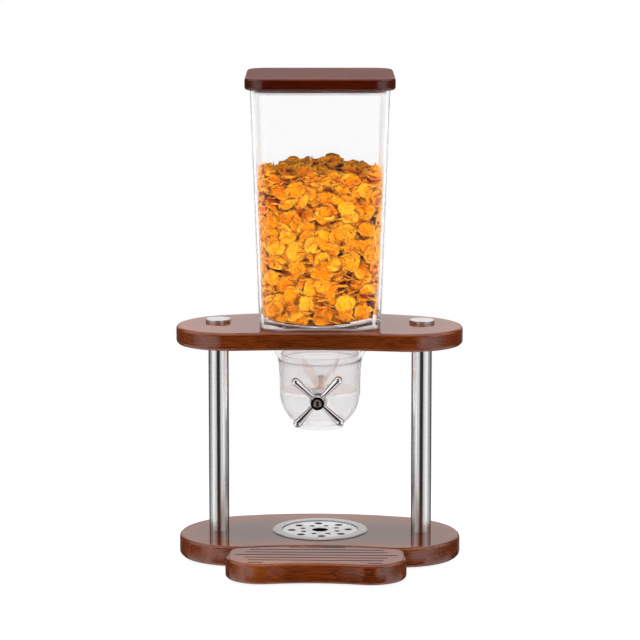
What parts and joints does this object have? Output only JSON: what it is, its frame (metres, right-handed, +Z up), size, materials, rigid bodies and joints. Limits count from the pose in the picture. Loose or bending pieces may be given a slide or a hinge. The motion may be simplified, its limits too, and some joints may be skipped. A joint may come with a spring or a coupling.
{
  "type": "gravity food dispenser",
  "caption": "Clear tapered food bin with a wooden lid on a two-post wooden stand; a cross handle turns a paddle wheel over a drip dish and a grooved rest block.",
  "frame": {"origin": "middle of the footprint, on the surface that the feet stand on", "axes": "+Z up; +Y to the back, away from the handle; +X to the right as seen from the front"},
  "size_m": [0.3498, 0.2813, 0.5935],
  "materials": {
    "wood_stand": "reddish walnut under satin-gloss lacquer",
    "wood_lid": "darker reddish walnut under satin-gloss lacquer",
    "wood_dowel": "bare beech",
    "brushed_post": "brushed round the tube",
    "cap_steel": "brushed top, polished rim",
    "zinc_steel": "zinc plated",
    "clear_plastic": "clear moulded plastic, polished",
    "silicone_clear": "translucent silicone",
    "rubber_foot": "matte black rubber",
    "bushing_metal": "satin turned",
    "axle_steel": "ground",
    "spring_steel": "oiled spring steel",
    "silicone_cream": "soft translucent cream silicone",
    "handle_chrome": "polished chrome",
    "dome_black": "black nickel, polished",
    "stainless": "fine satin stainless"
  },
  "bodies": {
    "stand": {"base_board": "wood_stand", "base_feet": "rubber_foot", "left_post": "brushed_post", "right_post": "brushed_post", "left_tie_rod": "zinc_steel", "right_tie_rod": "zinc_steel", "rod_nuts": "zinc_steel", "rod_washers": "zinc_steel", "left_cap": "cap_steel", "right_cap": "cap_steel", "shelf_board": "wood_stand", "hopper_bin": "clear_plastic", "outlet_housing": "clear_plastic", "housing_gasket": "silicone_clear", "front_bushing": "bushing_metal", "rear_bushing": "bushing_metal"},
    "lid": {"lid_board": "wood_lid", "lid_plug": "wood_lid", "lid_seal": "silicone_clear", "lid_screws": "zinc_steel"},
    "rotor": {"axle": "axle_steel", "paddle_wheel": "silicone_cream", "cross_handle": "handle_chrome", "handle_washer": "zinc_steel", "dome_nut": "dome_black", "rear_clip": "spring_steel"},
    "dish": {"drip_dish": "stainless"},
    "strainer": {"strainer_plate": "stainless"},
    "rest_block": {"rest_block": "wood_stand", "rest_block_feet": "rubber_foot", "rest_block_dowels": "wood_dowel"}
  },
  "joints": [
    {"name": "rotor_spin", "type": "hinge", "parent": "stand", "child": "rotor", "pos_m": [0, 0.04543, 0.2025], "axis": [0, 1, 0], "continuous": true},
    {"name": "lid_lift", "type": "slide", "parent": "stand", "child": "lid", "axis": [0, 0, 1], "range_m": [0, 0.1]},
    {"name": "dish_lift", "type": "slide", "parent": "stand", "child": "dish", "axis": [0, 0, 1], "range_m": [0, 0.05]},
    {"name": "strainer_lift", "type": "slide", "parent": "dish", "child": "strainer", "axis": [0, 0, 1], "range_m": [0, 0.04]},
    {"name": "rest_block_pull", "type": "slide", "parent": "stand", "child": "rest_block", "axis": [0, -1, 0], "range_m": [0, 0.04]}
  ]
}
